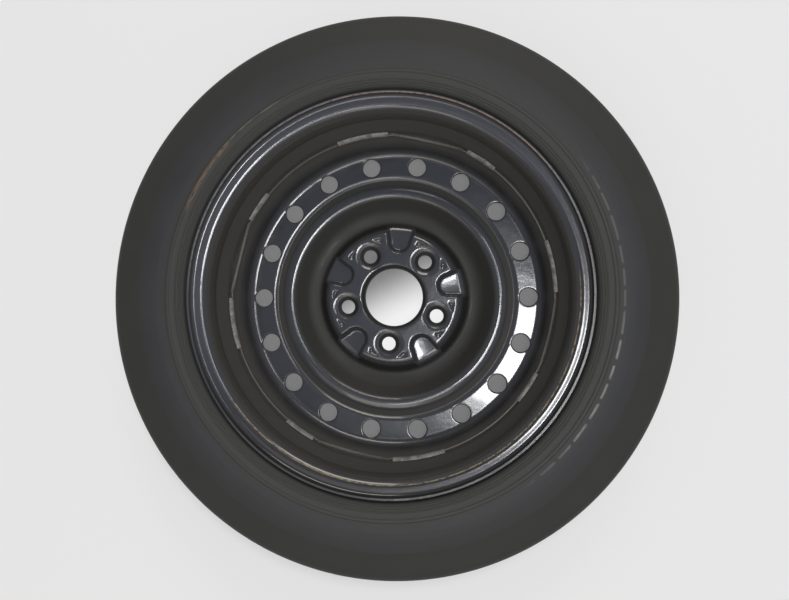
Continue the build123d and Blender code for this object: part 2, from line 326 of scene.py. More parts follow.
def flange_wear_and_sheen(made, colour, roughness, z, radius, angle):
    """Adds a painted sheen on the flange face at its upper left, rust on its edge and a gold line at its
    heel.
    """
    # painted sheen: a paler bluish grey on the flange face, only towards the upper left
    face = radius.rise(206.0, 208.5) * z.rise(48.5, 51.0)
    upper_left = (angle - 115.0).wrapped(-180.0, 180.0).band(0.0, 60.0, 60.0)
    painted_sheen = made.mix(upper_left, (0.021, 0.021, 0.023, 1), (0.066, 0.068, 0.078, 1))
    colour = made.mix(face * 0.9, colour, painted_sheen)
    streak = made.noise(made.vector(angle * 0.7, radius * 0.8, z * 0.8), 1.0, 4.0)
    edge = radius.band(218.5, 0.35, 0.35) * z.rise(58.5, 60.5)
    rust = edge * angle.band(85.0, 75.0, 25.0) * streak.rise(0.34, 0.56)
    brown = angle.band(70.0, 24.0, 14.0)
    colour = made.mix(rust * 0.7, colour, made.mix(brown, (0.25, 0.24, 0.21, 1), (0.36, 0.21, 0.11, 1)))
    heel = radius.band(206.2, 0.35, 0.45) * z.rise(48.0, 50.0) * angle.band(-71.0, 72.0, 8.0)
    gold = heel * streak.rise(0.38, 0.58)
    colour = made.mix(gold * 0.75, colour, (0.34, 0.25, 0.09, 1))
    return colour, roughness + (rust + gold) * 0.4


def black_paint(name, rusty=False):
    """Gloss black paint with a dull brown film in the hollows; rusty is the rim's, with its worn flange and a
    painted sheen on the flange face.
    """
    made = Finish(name)
    spot, _, _, z, radius, angle = made.place()
    cloudy = made.noise(spot, 0.03, 4.0)
    peel = made.noise(spot, 0.45, 2.0)
    fine = made.noise(spot, 1.4, 3.0)
    wavy = made.noise(spot, 0.09, 2.0)
    lines = made.noise(made.vector(radius * 0.35, angle * 0.02, z * 0.9), 1.0, 3.0, 0.7)
    colour = made.mix(cloudy, (0.037, 0.0385, 0.0435, 1), (0.046, 0.0475, 0.0525, 1))

    # the bowl reaches in to the pad, and a little less far at the pockets
    around = (angle - lug_start).wrapped(-180 / lug_count, 180 / lug_count)
    bowl = (radius - 6.5 * abs(around).rise(23.0, 25.5)).rise(81.5, 86.0) * (1 - radius.rise(120.5, 126.5))
    bowl_film = made.mix(lines, (0.0088, 0.0087, 0.0073, 1), (0.0170, 0.0167, 0.0141, 1))
    colour = made.mix(bowl, colour, bowl_film)

    # the film in the groove and on the skirt, the well's slope and the barrel
    groove = radius.band(143.0, 2.6, 3.5)
    walls = radius.rise(182.5, 186.0) * (1 - z.rise(45.0, 50.0))
    slope = z.band(20.5, 5.5, 3.0) * radius.rise(188.0, 189.5)
    skirt = radius.rise(182.5, 185.5) * (1 - z.rise(3.0, 8.0))
    barrel_film = made.mix(slope, (0.080, 0.078, 0.067, 1), (0.040, 0.039, 0.034, 1))
    film = made.mix(skirt, barrel_film, (0.128, 0.125, 0.110, 1))
    dusty = (groove * 0.6 + walls * (0.82 + 1.8 * (lines - 0.5))).clamp()
    colour = made.mix(dusty, colour, film)
    bend = radius.band(183.0, 3.5, 3.0)
    dull = (bowl + groove * 0.8 + walls * 0.85 + bend * 0.5).clamp() * (0.8 + 0.4 * cloudy)
    dust = fine.rise(0.62, 0.8) * cloudy.rise(0.45, 0.65)
    colour = made.mix(dust * 0.2, colour, (0.22, 0.21, 0.19, 1))

    if not rusty:
        colour, dull = disc_edges(made, colour, dull, z, radius, angle, around)
    roughness = 0.12 + 0.07 * cloudy + 0.2 * dust + 0.45 * dull
    if rusty:
        colour, roughness = flange_wear_and_sheen(made, colour, roughness, z, radius, angle)
    height = peel * 0.6 + fine * 0.12 + wavy * 5.0
    return made.skin(
        Base_Color=colour,
        Roughness=roughness,
        Coat_Weight=(0.6 - 0.6 * dull).clamp(),
        Coat_Roughness=0.05,
        Normal=made.bump(height, 0.05, 0.0006),
    )


def tyre_rubber():
    """Matt rubber in three tints from the bead out to the tread, the middle one a painted bluish sheen, with
    a scuff and a dashed line along the rib, partly rubbed wear and partly painted glints.
    """
    made = Finish("tyre_rubber")
    spot, _, _, z, radius, angle = made.place()
    cloudy = made.noise(spot, 0.02, 4.0)
    grain = made.noise(spot, 1.1, 3.0)
    turned = made.noise(made.vector(radius * 0.9, angle * 0.05, z * 0.9), 1.0, 3.0)
    tread_side = made.mix(cloudy, (0.0215, 0.0220, 0.0207, 1), (0.0315, 0.0319, 0.0303, 1))
    # the middle band's bluish tint is a painted sheen
    sheen_band = made.mix(cloudy, (0.0240, 0.0252, 0.0272, 1), (0.0365, 0.0377, 0.0402, 1))
    cushion = made.mix(cloudy, (0.0295, 0.0297, 0.0285, 1), (0.0405, 0.0405, 0.0385, 1))
    patchy = radius + 14.0 * (cloudy - 0.5)
    outer = made.mix(patchy.rise(264.0, 282.0), sheen_band, tread_side)
    colour = made.mix(patchy.rise(240.0, 250.0), cushion, outer)

    scuffed = made.noise(made.vector(angle * 0.5, radius * 0.8, z * 0.3), 1.0, 4.0)
    upper_side = z.rise(55.0, 60.0)
    high = upper_side * scuffed.rise(0.36, 0.60)
    scuff = radius.band(rib_r - 1.8, 0.9, 1.2) * angle.band(147.0, 7.0, 5.0) * high
    rubbed = radius.band(rib_r - 0.4, 0.5, 1.0) * angle.band(131.0, 8.0, 7.0) * high
    colour = made.mix(scuff * 0.8, colour, (0.19, 0.115, 0.065, 1))
    colour = made.mix(rubbed * 0.5, colour, (0.16, 0.15, 0.12, 1))
    # dashed line along the rib: partly rubbed wear, partly painted glints, faint on the right and brightest
    # towards the lower right
    dash_wear_and_glints = abs((angle + 9.0 * cloudy).wrapped(-2.9, 2.9)).rise(0.4, 0.9)
    dash_wear_and_glints = dash_wear_and_glints * radius.band(248.6, 0.6, 1.1) * upper_side
    faint = 0.25 * angle.band(-10.0, 34.0, 14.0)
    bright_glints = 0.6 * angle.band(-24.0, 9.0, 12.0) * scuffed.rise(0.3, 0.6)
    colour = made.mix(dash_wear_and_glints * (faint + bright_glints), colour, (0.24, 0.235, 0.215, 1))
    return made.skin(
        Base_Color=colour,
        Roughness=0.56 + 0.16 * cloudy,
        Specular_IOR_Level=0.42,
        Normal=made.bump(grain * 0.4 + turned * 0.8, 0.25, 0.0006),
    )


def valve_rubber():
    made = Finish("valve_rubber")
    spot, *_ = made.place()
    grain = made.noise(spot, 0.9, 3.0)
    colour = made.mix(grain, (0.016, 0.016, 0.016, 1), (0.030, 0.029, 0.028, 1))
    return made.skin(Base_Color=colour, Roughness=0.5 + 0.2 * grain, Normal=made.bump(grain, 0.15, 0.0004))


def brass():
    made = Finish("brass")
    spot, *_ = made.place()
    cloudy = made.noise(spot, 0.4, 4.0)
    colour = made.mix(cloudy, (0.62, 0.46, 0.20, 1), (0.78, 0.62, 0.33, 1))
    return made.skin(Base_Color=colour, Metallic=1.0, Roughness=0.26 + 0.18 * cloudy)


def spring_steel():
    made = Finish("spring_steel")
    spot, *_ = made.place()
    cloudy = made.noise(spot, 1.2, 3.0)
    colour = made.mix(cloudy, grey(0.50), grey(0.68))
    return made.skin(Base_Color=colour, Metallic=1.0, Roughness=0.25 + 0.15 * cloudy)


def cap_plastic():
    made = Finish("cap_plastic")
    spot, *_ = made.place()
    grain = made.noise(spot, 1.6, 2.0)
    colour = made.mix(grain, grey(0.012), grey(0.026))
    return made.skin(Base_Color=colour, Roughness=0.42 + 0.15 * grain, Normal=made.bump(grain, 0.2, 0.0003))


def painted_weld():
    made = Finish("weld_paint")
    spot, *_ = made.place()
    cloudy = made.noise(spot, 0.12, 3.0)
    colour = made.mix(cloudy.rise(0.3, 0.6), (0.14, 0.14, 0.14, 1), (0.27, 0.265, 0.255, 1))
    return made.skin(Base_Color=colour, Roughness=0.34 + 0.2 * cloudy, Coat_Weight=0.3)


paint = black_paint("black_paint")
rim_paint = black_paint("rim_paint", rusty=True)
rubber = tyre_rubber()
weld_paint = painted_weld()


# Sections

def rounded(points, radii, turn=6.0, finest=0.0):
    """A cornered line with its corners rounded, as an array of (radius, height).

    turn is the degrees of bend per step; finest is the shortest step round a small corner.
    """
    line = [np.array(points[0], float)]
    for before, corner, after, radius in zip(points, points[1:], points[2:], radii):
        before, corner, after = (np.array(p, float) for p in (before, corner, after))
        back = (before - corner) / np.linalg.norm(before - corner)
        on = (after - corner) / np.linalg.norm(after - corner)
        between = math.acos(np.clip(back @ on, -1, 1))
        reach = radius / math.tan(between / 2)
        middle = (back + on) / np.linalg.norm(back + on)
        centre = corner + middle * radius / math.sin(between / 2)
        start, end = corner + back * reach - centre, corner + on * reach - centre
        swing = math.pi - between
        steps = math.ceil(math.degrees(swing) / turn)
        if finest > 0:
            steps = min(steps, math.ceil(radius * swing / finest))
        steps = max(2, steps)
        for step in range(steps + 1):
            part = step / steps
            arm = (math.sin((1 - part) * swing) * start + math.sin(part * swing) * end) / math.sin(swing)
            line.append(centre + arm)
    line.append(np.array(points[-1], float))
    return np.array(line)


def lined(line, spacing):
    """The line with points added so that no two are further apart than spacing."""
    out = [line[0]]
    for a, b in zip(line, line[1:]):
        steps = max(1, math.ceil(np.linalg.norm(b - a) / spacing))
        out += [a + (b - a) * step / steps for step in range(1, steps + 1)]
    return np.array(out)


def sides_of(line):
    """Unit normals to the left of a line of close points."""
    along = np.gradient(line, axis=0)
    along /= np.linalg.norm(along, axis=1)[:, None]
    return np.stack([-along[:, 1], along[:, 0]], axis=1)


# Geometry Nodes

def new_tree(name, inputs):
    tree = bpy.data.node_groups.new(name, "GeometryNodeTree")
    tree.interface.new_socket("Geometry", in_out="INPUT", socket_type="NodeSocketGeometry")
    for label, kind in inputs.items():
        tree.interface.new_socket(label, in_out="INPUT", socket_type=kind)
    tree.interface.new_socket("Geometry", in_out="OUTPUT", socket_type="NodeSocketGeometry")
    return tree, tree.nodes.new("NodeGroupInput"), tree.nodes.new("NodeGroupOutput")


def add(tree, kind, settings=None, sockets=None):
    made = tree.nodes.new(kind)
    for name, value in (settings or {}).items():
        setattr(made, name, value)
    for name, value in (sockets or {}).items():
        if isinstance(value, bpy.types.NodeSocket):
            tree.links.new(value, made.inputs[name])
        else:
            made.inputs[name].default_value = value
    return made


def end_tree(tree, given, out, geometry):
    whole = add(tree, "GeometryNodeRealizeInstances", None, {"Geometry": geometry})
    coated = add(tree, "GeometryNodeSetMaterial", None, {
        "Geometry": whole.outputs["Geometry"], "Material": given.outputs["Finish"]})
    tree.links.new(coated.outputs["Geometry"], out.inputs["Geometry"])


def turning_tree():
    """Turns a section, drawn as (radius, height), once round the axle."""
    tree, given, out = new_tree("Turned ring", {
        "Path radius": "NodeSocketFloat", "Steps": "NodeSocketInt", "Finish": "NodeSocketMaterial"})
    section = add(tree, "GeometryNodeMeshToCurve", None, {"Mesh": given.outputs["Geometry"]})
    shift = add(tree, "ShaderNodeMath", {"operation": "MULTIPLY"}, {0: given.outputs["Path radius"], 1: -1.0})
    offset = add(tree, "ShaderNodeCombineXYZ", None, {"X": shift.outputs[0]})
    placed = add(tree, "GeometryNodeTransform", None, {
        "Geometry": section.outputs["Curve"], "Translation": offset.outputs[0], "Scale": (1.0, -1.0, 1.0)})
    circle = add(tree, "GeometryNodeCurvePrimitiveCircle", None, {
        "Resolution": given.outputs["Steps"], "Radius": given.outputs["Path radius"]})
    upright = add(tree, "GeometryNodeSetCurveNormal", {"mode": "Z_UP"}, {"Curve": circle.outputs["Curve"]})
    swept = add(tree, "GeometryNodeCurveToMesh", None, {
        "Curve": upright.outputs["Curve"], "Profile Curve": placed.outputs["Geometry"]})
    end_tree(tree, given, out, swept.outputs["Mesh"])
    return tree


def ringing_tree():
    """Sets copies of a piece round the axle at even angles."""
    tree, given, out = new_tree("Set round", {
        "Count": "NodeSocketInt", "Finish": "NodeSocketMaterial"})
    points = add(tree, "GeometryNodePoints", None, {"Count": given.outputs["Count"]})
    index = add(tree, "GeometryNodeInputIndex")
    step = add(tree, "ShaderNodeMath", {"operation": "DIVIDE"}, {0: math.tau, 1: given.outputs["Count"]})
    turn = add(tree, "ShaderNodeMath", {"operation": "MULTIPLY"}, {0: index.outputs[0], 1: step.outputs[0]})
    rotation = add(tree, "ShaderNodeCombineXYZ", None, {"Z": turn.outputs[0]})
    copies = add(tree, "GeometryNodeInstanceOnPoints", None, {
        "Points": points.outputs[0], "Instance": given.outputs["Geometry"], "Rotation": rotation.outputs[0]})
    end_tree(tree, given, out, copies.outputs[0])
    return tree


def mesh_object(name, verts, faces=(), edges=()):
    mesh = bpy.data.meshes.new(name)
    mesh.from_pydata([tuple(v) for v in verts], list(edges), list(faces))
    made = bpy.data.objects.new(name, mesh)
    scene.collection.objects.link(made)
    return made


def grown(name, source, tree, **inputs):
    """Runs a tree on an object and keeps the result as a plain mesh object."""
    modifier = source.modifiers.new("tree", "NODES")
    modifier.node_group = tree
    for item in tree.interface.items_tree:
        key = item.name.lower().replace(" ", "_")
        if item.in_out == "INPUT" and key in inputs:
            modifier[item.identifier] = inputs[key]
    shown = source.evaluated_get(bpy.context.evaluated_depsgraph_get())
    mesh = bpy.data.meshes.new_from_object(shown)
    source.modifiers.remove(modifier)
    bpy.data.objects.remove(source)
    made = bpy.data.objects.new(name, mesh)
    scene.collection.objects.link(made)
    return made


def smoothed(made, angle):
    """Closes seams, turns every face outwards and shades smooth between edges sharper than angle."""
    work = bmesh.new()
    work.from_mesh(made.data)
    bmesh.ops.remove_doubles(work, verts=work.verts, dist=1e-7)
    bmesh.ops.recalc_face_normals(work, faces=work.faces)
    work.to_mesh(made.data)
    work.free()
    made.data.shade_smooth()
    made.data.set_sharp_from_angle(angle=math.radians(angle))
    return made


turning = turning_tree()
ringing = ringing_tree()


def turned_piece(name, section, steps, finish):
    """A closed section of (radius, height) in millimetres, turned once round the axle."""
    count = len(section)
    verts = [(r * MM, z * MM, 0.0) for r, z in section]
    edges = [(i, (i + 1) % count) for i in range(count)]
    source = mesh_object(name + "_section", verts, edges=edges)
    path_radius = float(np.mean(section[:, 0])) * MM
    return grown(name, source, turning, path_radius=path_radius, steps=steps, finish=finish)


def settle(piece, node, finish=None):
    """Hands a finished piece to its body, node and material slot."""
    if finish is not None:
        piece.data.materials.clear()
        piece.data.materials.append(finish)
    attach(piece, "wheel")
    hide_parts(node)


# Rim

def rim_line():
    half = rim_sheet / 2
    heel_z = rim_width / 2 + half
    lip_r = bead_seat_r + flange_height - half
    seat_r = bead_seat_r - half
    ledge_z = heel_z - seat_length
    ledge_r = seat_r - seat_length * math.tan(math.radians(bead_seat_taper))
    floor_r = well_r + half
    tip_z = rim_width / 2 + flange_lip
    points = [
        (lip_r, -tip_z), (lip_r, -heel_z), (seat_r, -heel_z), (ledge_r, -ledge_z),
        (ledge_r, slope_outboard_z), (floor_r, well_outboard_z), (floor_r, well_inboard_z),
        (ledge_r, slope_inboard_z), (ledge_r, ledge_z), (seat_r, heel_z), (lip_r, heel_z), (lip_r, tip_z),
    ]
    heel = bead_heel_r + half
    side = [flange_curl_r, heel, heel, well_bend_r, well_bend_r]
    return rounded(points, side + side[::-1])


def sheet_section(line, sheet, edge_round=3):
    """A closed section of even thickness about a line, with rounded ends."""
    dense = lined(line, 1.5)
    normal = sides_of(dense)
    left, right = dense + normal * sheet / 2, dense - normal * sheet / 2
    out = []
    for near, end, way in ((left, -1, 1), (right, 0, -1)):
        out += list(near if way == 1 else near[::-1])
        along = way * np.array([normal[end][1], -normal[end][0]])
        across = way * normal[end]
        for step in range(1, edge_round + 1):
            swing = math.pi * step / (edge_round + 1)
            out.append(dense[end] + sheet / 2 * (across * math.cos(swing) + along * math.sin(swing) * 0.6))
    return np.array(out)


def make_rim():
    section = sheet_section(rim_line(), rim_sheet)
    low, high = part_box("rim")
    section[:, 1] = np.clip(section[:, 1], low.z / MM, high.z / MM)
    return smoothed(turned_piece("steel_rim", section, 280, rim_paint), 60)


# Disc

def step_down(distance, outer, inner):
    """0 at or beyond outer, 1 at or within inner, smooth between."""
    part = np.clip((outer - distance) / (outer - inner), 0, 1)
    return part * part * (3 - 2 * part)


def pocket_distance(x, y):
    """Distance outside the outline of a hub pocket that lies along the X axis; less than 0 inside."""
    side = np.abs(y)
    lean = math.atan2(pocket_outer_half - pocket_inner_half, pocket_outer_r - pocket_round_r)
    round_end = np.hypot(x - pocket_round_r, y) - pocket_inner_half
    flank = (side - pocket_inner_half) * math.cos(lean) - (x - pocket_round_r) * math.sin(lean)
    a = flank + pocket_corner_r
    b = x - pocket_outer_r + pocket_corner_r
    outer = np.minimum(np.maximum(a, b), 0) + np.hypot(np.maximum(a, 0), np.maximum(b, 0)) - pocket_corner_r
    return np.where(x < pocket_round_r, round_end, outer)


def triangle_distance(x, y, corners):
    """Distance outside a three-sided dimple, from its corners in clockwise order."""
    sides = []
    for (ax, ay), (bx, by) in zip(corners, corners[1:] + corners[:1]):
        length = math.hypot(bx - ax, by - ay)
        sides.append(((x - ax) * (ay - by) + (y - ay) * (bx - ax)) / length)
    return np.max(sides, axis=0)


def turned_back(x, y, degrees):
    swing = math.radians(degrees)
    return x * math.cos(swing) + y * math.sin(swing), y * math.cos(swing) - x * math.sin(swing)


def hub_shape(x, y, z, under):
    """Heights over the hub with its pockets, lug seats and dimples pressed in; under is the outboard face."""
    level = pocket_floor_z - (disc_sheet if under else 0.0)
    for i in range(lug_count):
        px, py = turned_back(x, y, lug_start + (i + 0.5) * 360 / lug_count)
        floor = level - np.maximum(px - pocket_roll_r, 0) ** 2 / pocket_roll
        if not under:
            floor = floor - pocket_tilt * (px - pocket_tilt_r) + pocket_dish * py ** 2
        z = z + (floor - z) * step_down(pocket_distance(px, py), pocket_wall_out, -pocket_wall_in)
    for i in range(lug_count):
        lug = lug_start + i * 360 / lug_count
        lx, ly = turned_back(x, y, lug)
        gap = np.hypot(lx - lug_circle_r, ly)
        if under:
            z = z - lug_boss_depth * step_down(gap, lug_boss_r, nut_seat_r)
            z = z + nut_seat_depth * np.clip((nut_seat_r - gap) / (nut_seat_r - lug_hole_r), 0, 1)
            continue
        z = z - lug_dish_depth * step_down(gap, lug_dish_r, lug_dish_floor_r)
        z = z - lug_recess_depth * step_down(gap, lug_recess_r, lug_recess_floor_r)
        for way in (-1, 1):
            dx, dy = turned_back(x, y, lug + way * dimple_swing)
            outside = triangle_distance(dx - dimple_circle_r, dy * way, dimple_corners)
            z = z - dimple_depth * step_down(outside, dimple_wall_out, -dimple_wall_in)
    return z


def disc_line():
    half = disc_sheet / 2
    pad_z = hub_face_z - half
    vent_z = vent_ring_z - half
    bowl_mid = bowl_z - half
    skirt_r = well_r - half
    ridge_z = vent_z + ridge_height
    points = [
        (hub_bore_r + half, pad_z - hub_lip), (hub_bore_r + half, pad_z), (pad_r, pad_z),
        (bowl_inner_r, bowl_mid), (bowl_outer_r, bowl_mid), (ridge_inner_r, ridge_z),
        (ridge_outer_r, ridge_z - ridge_fall), (groove_r, vent_z - groove_depth), (vent_ring_inner_r, vent_z),
        (vent_ring_outer_r, vent_z), (skirt_r, skirt_bend_z), (skirt_r, skirt_edge_z),
    ]
    bends = [hub_lip_bend_r, pad_bend_r, bowl_inner_bend_r, bowl_outer_bend_r, ridge_inner_bend_r,
             ridge_outer_bend_r, groove_bend_r, vent_ring_inner_bend_r, vent_ring_outer_bend_r, skirt_bend_r]
    return lined(rounded(points, bends, 1.5), 0.25)


def even_rows(length, turning_of, start, end, spacing, turn):
    """Places along a line between start and end: close where it bends, spacing apart where it is straight."""
    inside = (length > start) & (length < end)
    at = np.concatenate([[start], length[inside], [end]])
    bend = np.interp(at, length, turning_of)
    cost = np.diff(at) / spacing + np.diff(bend) / turn
    total = np.concatenate([[0], np.cumsum(cost)])
    count = max(1, math.ceil(total[-1]))
    return np.interp(np.linspace(0, total[-1], count + 1), total, at)


def half_chord(radius, centre, hole):
    """Degrees from a hole's centre line to its edge, on a circle of this radius round the axle."""
    cosine = (radius * radius + centre * centre - hole * hole) / (2 * radius * centre)
    return np.degrees(np.arccos(np.clip(cosine, -1, 1)))


class SheetGrid:
    """A pressed sheet as two skins of quads round the axle, with a round hole in each of its cells."""

    def __init__(self):
        self.verts = []
        self.faces = []

    def skins(self, top, under, cells, start, columns, limit, centre, hole, shape):
        """Adds both skins over rows of (radius, height), joined in the holes; returns vertex numbers."""
        rows, half = len(top), len(columns)
        opening = half_chord(top[:, 0], centre, hole)
        opening[np.abs(top[:, 0] - centre) >= hole - 1e-6] = 0.0
        columns = np.array(columns)
        eased = opening[:, None] + (limit - opening[:, None]) * columns / limit
        swing = np.where(columns < limit, eased, columns)
        angles = np.concatenate([-swing[:, ::-1], swing], axis=1)
        pitch = 360 / cells
        ids = []
        for skin, line in ((0, top), (1, under)):
            turn = np.radians(start + pitch * np.arange(cells)[None, :, None] + angles[:, None, :])
            x = line[:, 0, None, None] * np.cos(turn)
            y = line[:, 0, None, None] * np.sin(turn)
            z = shape(x, y, np.broadcast_to(line[:, 1, None, None], x.shape), bool(skin))
            number = len(self.verts) + np.arange(x.size).reshape(x.shape)
            self.verts.extend(np.stack([x, y, z], axis=-1).reshape(-1, 3).tolist())
            shut = opening <= 0
            number[shut, :, half] = number[shut, :, half - 1]
            number[:, :, -1] = np.roll(number[:, :, 0], -1, axis=1)
            ids.append(number)
        for skin, number in enumerate(ids):
            for q in range(2 * half - 1):
                if q == half - 1:
                    continue
                a, b = number[:-1, :, q], number[:-1, :, q + 1]
                c, d = number[1:, :, q + 1], number[1:, :, q]
                quads = np.stack([a, d, c, b] if skin == 0 else [a, b, c, d], axis=-1)
                self.faces.extend(quads.reshape(-1, 4).tolist())
        for i in range(rows - 1):
            if opening[i] <= 0 and opening[i + 1] <= 0:
                continue
            for q in (half - 1, half):
                for k in range(cells):
                    quad = [ids[0][i, k, q], ids[0][i + 1, k, q], ids[1][i + 1, k, q], ids[1][i, k, q]]
                    self.faces.append([int(v) for v in dict.fromkeys(quad)])
        return ids

    def loop(self, number, row):
        """Vertex numbers once round a row that no hole cuts, and the angle of each."""
        flat = list(dict.fromkeys(int(v) for v in number[row].reshape(-1)))
        return sorted((math.atan2(self.verts[v][1], self.verts[v][0]), v) for v in flat)

    def zip_loops(self, one, two):
        """Joins two loops of unlike counts with triangles."""
        first = min(range(len(two)), key=lambda i: abs(two[i][0] - one[0][0]))
        two = two[first:] + [(a + math.tau, v) for a, v in two[:first]]
        one = one + [(one[0][0] + math.tau, one[0][1])]
        two = two + [(two[0][0] + math.tau, two[0][1])]
        i = j = 0
        while i < len(one) - 1 or j < len(two) - 1:
            step_one = j == len(two) - 1 or (i < len(one) - 1 and one[i + 1][0] <= two[j + 1][0])
            if step_one:
                self.faces.append([one[i][1], one[i + 1][1], two[j][1]])
                i += 1
            else:
                self.faces.append([one[i][1], two[j + 1][1], two[j][1]])
                j += 1


def make_disc():
    half = disc_sheet / 2
    line = disc_line()
    normal = sides_of(line)
    length = np.concatenate([[0], np.cumsum(np.linalg.norm(np.diff(line, axis=0), axis=1))])
    heading = np.unwrap(np.arctan2(normal[:, 1], normal[:, 0]))
    turning_of = np.degrees(np.concatenate([[0], np.cumsum(np.abs(np.diff(heading)))]))
    face = line + normal * half

    def at(places, side):
        mid = np.stack([np.interp(places, length, line[:, i]) for i in (0, 1)], axis=1)
        out = np.stack([np.interp(places, length, normal[:, i]) for i in (0, 1)], axis=1)
        return mid + side * half * out / np.linalg.norm(out, axis=1)[:, None]

    outward = face[:, 0] > hub_bore_r + half
    outward &= np.arange(len(face)) > np.argmax(outward)

    def along(radius):
        return np.interp(radius, face[outward, 0], length[outward])

    swing = np.radians(np.linspace(-90, 90, 21))
    lug_rows = along(lug_circle_r + lug_hole_r * np.sin(swing))
    vent_rows = along(vent_circle_r + vent_hole_r * np.sin(swing))
    split = along(grid_seam_r)
    hub_rows = np.concatenate([
        even_rows(length, turning_of, 0, lug_rows[0], 1.4, 16)[:-1], lug_rows,
        even_rows(length, turning_of, lug_rows[-1], split, 1.15, 15)[1:]])
    ring_rows = np.concatenate([
        even_rows(length, turning_of, split, vent_rows[0], 4.5, 9.0)[:-1], vent_rows,
        even_rows(length, turning_of, vent_rows[-1], length[-1], 5.0, 8.5)[1:]])

    lug_columns = [0, 0.6, 1.25, 2.0, 2.9, 3.9, 4.9, 5.9, 6.9, 7.9, 8.9, 9.9, 10.9, 11.9, 12.9, 13.9,
                   15, 16, 17, 18.2, 19.6, 21, 22, 23, 24, 25, 26, 27, 28, 29.5, 31.2, 33.4, 36]
    vent_columns = [0, 0.45, 1.1, 2.1, 3.5, 5.4, 7.6, 10]
    grid = SheetGrid()

    def ring_shape(x, y, z, under):
        """Dips the skirt's edge between the welds and rolls the edges of the vent holes."""
        radius = np.hypot(x, y)
        pitch = 360 / weld_count
        off = (np.degrees(np.arctan2(y, x)) - scallop_start + pitch / 2) % pitch - pitch / 2
        side = np.clip(np.abs(radius * np.sin(np.radians(off))), 0, scallop_r)
        edge = skirt_edge_z - scallop_depth + scallop_r - np.sqrt(scallop_r ** 2 - side ** 2)
        foot = skirt_edge_z - 2 * scallop_depth
        part = (np.minimum(edge, skirt_edge_z) - foot) / (skirt_edge_z - foot)
        z = np.where(z > foot, foot + (z - foot) * part, z)
        if under:
            return z
        pitch = 360 / vent_count
        off = np.abs((np.degrees(np.arctan2(y, x)) + pitch / 2) % pitch - pitch / 2)
        gap = np.sqrt(radius ** 2 + vent_circle_r ** 2 - 2 * radius * vent_circle_r * np.cos(np.radians(off)))
        return z - vent_roll * step_down(gap, vent_hole_r + vent_roll_out, vent_hole_r - vent_roll_in)

    hub = grid.skins(at(hub_rows, 1), at(hub_rows, -1), lug_count, lug_start, lug_columns, 15.0,
                     lug_circle_r, lug_hole_r, hub_shape)
    ring = grid.skins(at(ring_rows, 1), at(ring_rows, -1), vent_count, 0.0, vent_columns, 10.0,
                      vent_circle_r, vent_hole_r, ring_shape)
    for skin in (0, 1):
        grid.zip_loops(grid.loop(hub[skin], -1), grid.loop(ring[skin], 0))
    grid.zip_loops(grid.loop(hub[0], 0), grid.loop(hub[1], 0))
    grid.zip_loops(grid.loop(ring[0], -1), grid.loop(ring[1], -1))
    used = sorted({v for f in grid.faces for v in f})
    renumber = {v: i for i, v in enumerate(used)}
    verts = np.array(grid.verts)[used] * MM
    faces = [[renumber[v] for v in f] for f in grid.faces]
    return smoothed(mesh_object("stamped_disc", verts, faces), 50)


# Weld beads

def make_welds():
    """A long and a short rippled bead, set four times round the edge of the disc's skirt."""
    arc = 9
    ring = arc + 1
    corner = np.array([well_r, skirt_edge_z])
    verts, faces = [], []
    for start, sweep in weld_runs:
        ripples = round(math.radians(sweep) * well_r / weld_ripple)
        steps = 5 * ripples
        first = len(verts)
        for i in range(steps + 1):
            part = i / steps
            turn = math.radians(start - sweep / 2 + sweep * part)
            ripple = 0.93 + 0.07 * math.cos(part * math.tau * ripples)
            size = weld_leg * ripple * min(1.0, 0.45 + 4.0 * math.sqrt(max(0.0, math.sin(math.pi * part))))
            section = [corner + (0.02, -0.02)]
            for j in range(arc):
                swing = math.radians(90 + 90 * j / (arc - 1))
                section.append(corner + size * np.array([math.cos(swing), math.sin(swing)]))
            for r, z in section:
                verts.append((r * math.cos(turn) * MM, r * math.sin(turn) * MM, z * MM))
        for i in range(steps):
            for j in range(ring):
                a, b = first + i * ring + j, first + i * ring + (j + 1) % ring
                faces.append((a, b, b + ring, a + ring))
        last = first + steps * ring
        faces += [tuple(range(first, first + ring)), tuple(range(last, last + ring))[::-1]]
    source = mesh_object("weld_pair", verts, faces)
    return smoothed(grown("weld_runs", source, ringing, count=weld_count, finish=weld_paint), 60)


# Tyre

def tread_points():
    """The tread from its middle to its shoulder: a shallow crown with square grooves."""
    crown = (tread_edge_r - tyre_r) / tread_half_width ** 2
    lip = tread_groove_half + tread_groove_slope
    points = []
    for place in tread_grooves:
        for shift, depth in (
            (-lip, 0.0),
            (-tread_groove_half, tread_groove_depth),
            (tread_groove_half, tread_groove_depth),
            (lip, 0.0),
        ):
            z = place + shift
            points.append((tyre_r + crown * z * z - depth, z))
    return points


